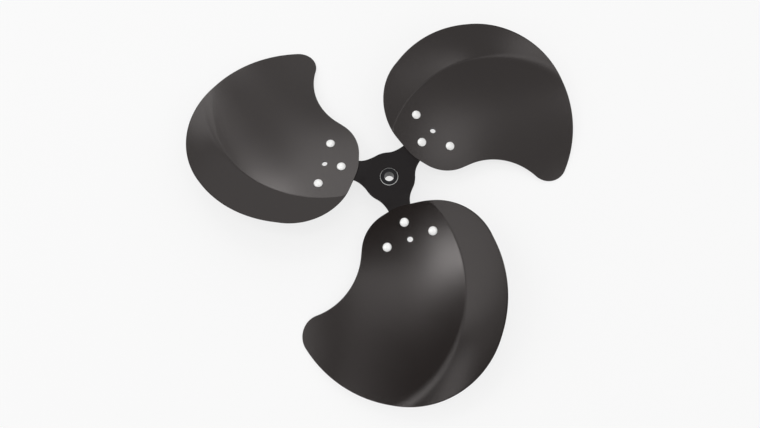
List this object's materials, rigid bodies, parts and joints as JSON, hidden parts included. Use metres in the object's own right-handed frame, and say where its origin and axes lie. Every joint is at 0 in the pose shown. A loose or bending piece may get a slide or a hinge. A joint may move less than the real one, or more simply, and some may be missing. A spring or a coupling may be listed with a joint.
{
  "type": "pedestal fan blade",
  "caption": "Fan blade assembly of pitched sheet-metal blades with hooked leading corners, riveted to a flat spider with a bored hub, for the motor shaft of a floor or pedestal fan.",
  "frame": {"origin": "centre of the shaft bore, level with the front face of the spider's centre", "axes": "+Z along the bore towards the front, where the air leaves; +X along the middle of the arm of blade_1"},
  "size_m": [0.4088, 0.4118, 0.0464],
  "materials": {
    "blade_paint": "semi-gloss charcoal enamel",
    "spider_paint": "satin black enamel",
    "hub_steel": "turned, darkened steel",
    "screw_steel": "black oxide steel",
    "rivet_metal": "bright satin aluminium"
  },
  "bodies": {
    "root": {"blade_1": "blade_paint", "blade_2": "blade_paint", "blade_3": "blade_paint", "spider": "spider_paint", "hub_boss": "hub_steel", "set_screw": "screw_steel", "blade_rivets": "rivet_metal"}
  },
  "joints": []
}
